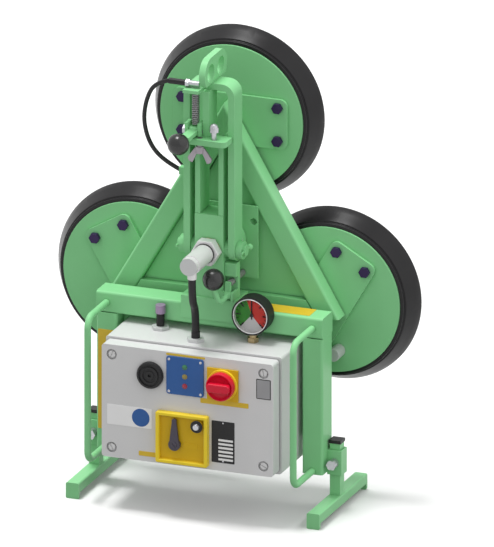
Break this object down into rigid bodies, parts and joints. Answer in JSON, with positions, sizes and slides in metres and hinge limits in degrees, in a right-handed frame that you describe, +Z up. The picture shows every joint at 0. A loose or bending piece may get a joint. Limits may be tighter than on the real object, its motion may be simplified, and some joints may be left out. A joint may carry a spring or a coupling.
{
  "type": "glass panel lifter",
  "caption": "Vacuum lifter for glass panels: tilting crane hanger with latch, box-carrying frame on telescopic feet, and a turning triangle of large rubber suction cups.",
  "frame": {"origin": "middle of the footprint's box, on the floor under the foot pads", "axes": "+Z up, -Y towards the operator and the control box, +Y towards the held panel, +X to the operator's right"},
  "size_m": [0.7, 0.2974, 0.857],
  "materials": {
    "green_paint": "satin light green paint",
    "box_paint": "light grey enamel",
    "bright_steel": "turned and zinc plated",
    "dark_bolts": "dark blue passivated",
    "bronze": "turned",
    "cup_rubber": "moulded rubber",
    "hose_rubber": "extruded rubber hose",
    "black_plastic": "moulded black plastic",
    "yellow_plastic": "yellow plastic",
    "red_plastic": "red plastic",
    "blue_film": "blue front film",
    "dial_white": "printed dial",
    "gauge_glass": "clear window",
    "pump_alloy": "die cast",
    "board_laminate": "circuit board"
  },
  "bodies": {
    "carrier": {"alarm_buzzer": "black_plastic", "battery": "black_plastic", "box_mount_plate": "green_paint", "charge_panel": "blue_film", "control_board": "board_laminate", "cross_beam": "green_paint", "enclosure_base": "box_paint", "enclosure_lid": "box_paint", "foot_clamp_bolts": "bright_steel", "gauge_case": "black_plastic", "gauge_dial": "dial_white", "gauge_lens": "gauge_glass", "gauge_stem": "bronze", "grab_handles": "green_paint", "hose_gland": "black_plastic", "hub_block": "green_paint", "hub_bush": "bronze", "hub_hose": "hose_rubber", "index_bracket": "green_paint", "left_leg": "green_paint", "lid_gasket": "cup_rubber", "lid_screws": "bright_steel", "mast": "green_paint", "pivot_retainers": "bright_steel", "pivot_stubs": "green_paint", "right_leg": "green_paint", "rotary_union": "bright_steel", "silencer": "black_plastic", "switch_plate": "yellow_plastic", "vacuum_pump": "pump_alloy", "valve_body": "bronze", "valve_tray": "yellow_plastic"},
    "cup_frame": {"hub_axle": "bright_steel", "hub_nut": "bright_steel", "hub_plate": "green_paint", "web_plate": "green_paint", "frame_bars": "green_paint", "cup_discs": "green_paint", "cup_seals": "cup_rubber", "cup_bolts": "dark_bolts", "vacuum_ports": "bright_steel"},
    "bail": {"bail": "green_paint", "lifting_eye": "green_paint", "latch_shelf": "green_paint", "latch_fasteners": "bright_steel", "line_fitting": "bright_steel", "control_line": "hose_rubber", "latch_spring": "bright_steel"},
    "latch": {"latch_lever": "bright_steel", "latch_knob": "black_plastic"},
    "wing_nut": {"wing_nut": "bright_steel"},
    "index_lever": {"index_lever": "bright_steel", "index_knob": "black_plastic"},
    "index_plunger": {"index_plunger": "bright_steel"},
    "left_foot": {"left_foot": "green_paint"},
    "right_foot": {"right_foot": "green_paint"},
    "main_switch": {"main_switch_knob": "red_plastic"},
    "valve_lever": {"valve_lever": "black_plastic"},
    "valve_lock": {"valve_lock_button": "black_plastic"},
    "gauge_needle": {"gauge_needle": "black_plastic"}
  },
  "joints": [
    {"name": "hub_turn", "type": "hinge", "parent": "carrier", "child": "cup_frame", "pos_m": [0, -0.0083, 0.478], "axis": [0, 1, 0], "continuous": true},
    {"name": "bail_tilt", "type": "hinge", "parent": "carrier", "child": "bail", "pos_m": [0, 0.0092, 0.478], "axis": [1, 0, 0], "range_deg": [0, 90]},
    {"name": "latch_pull", "type": "hinge", "parent": "bail", "child": "latch", "pos_m": [-0.022, -0.0248, 0.708], "axis": [1, 0, 0], "range_deg": [0, 12], "stiffness_Nm_per_rad": 3, "springref_deg": -8.59, "deforming": ["latch_spring"]},
    {"name": "wing_nut_turn", "type": "hinge", "parent": "bail", "child": "wing_nut", "pos_m": [-0.008, -0.0348, 0.681], "axis": [0, 0, 1], "continuous": true},
    {"name": "index_lever_swing", "type": "hinge", "parent": "carrier", "child": "index_lever", "pos_m": [0.039, -0.0163, 0.398], "axis": [1, 0, 0], "range_deg": [-13.75, 0]},
    {"name": "index_plunger_slide", "type": "slide", "parent": "carrier", "child": "index_plunger", "axis": [0, 1, 0], "range_m": [0, 0.0048]},
    {"name": "left_foot_slide", "type": "slide", "parent": "carrier", "child": "left_foot", "axis": [0, 0, 1], "range_m": [-0.01, 0.035]},
    {"name": "right_foot_slide", "type": "slide", "parent": "carrier", "child": "right_foot", "axis": [0, 0, 1], "range_m": [-0.01, 0.035]},
    {"name": "main_switch_turn", "type": "hinge", "parent": "carrier", "child": "main_switch", "pos_m": [0.069, -0.1263, 0.265], "axis": [0, 1, 0], "range_deg": [0, 90]},
    {"name": "valve_lever_turn", "type": "hinge", "parent": "carrier", "child": "valve_lever", "pos_m": [-0.0215, -0.1233, 0.1415], "axis": [0, 1, 0], "range_deg": [0, 90]},
    {"name": "valve_lock_push", "type": "slide", "parent": "carrier", "child": "valve_lock", "axis": [0, 1, 0], "range_m": [0, 0.003], "stiffness_N_per_m": 600, "springref_m": -0.004},
    {"name": "gauge_needle_turn", "type": "hinge", "parent": "carrier", "child": "gauge_needle", "pos_m": [0.09, -0.0303, 0.3705], "axis": [0, 1, 0], "range_deg": [-135, 135], "stiffness_Nm_per_rad": 0.02}
  ],
  "couplings": [
    {"joint": "index_plunger_slide", "follows": "index_lever_swing", "m_per_rad": -0.02}
  ]
}
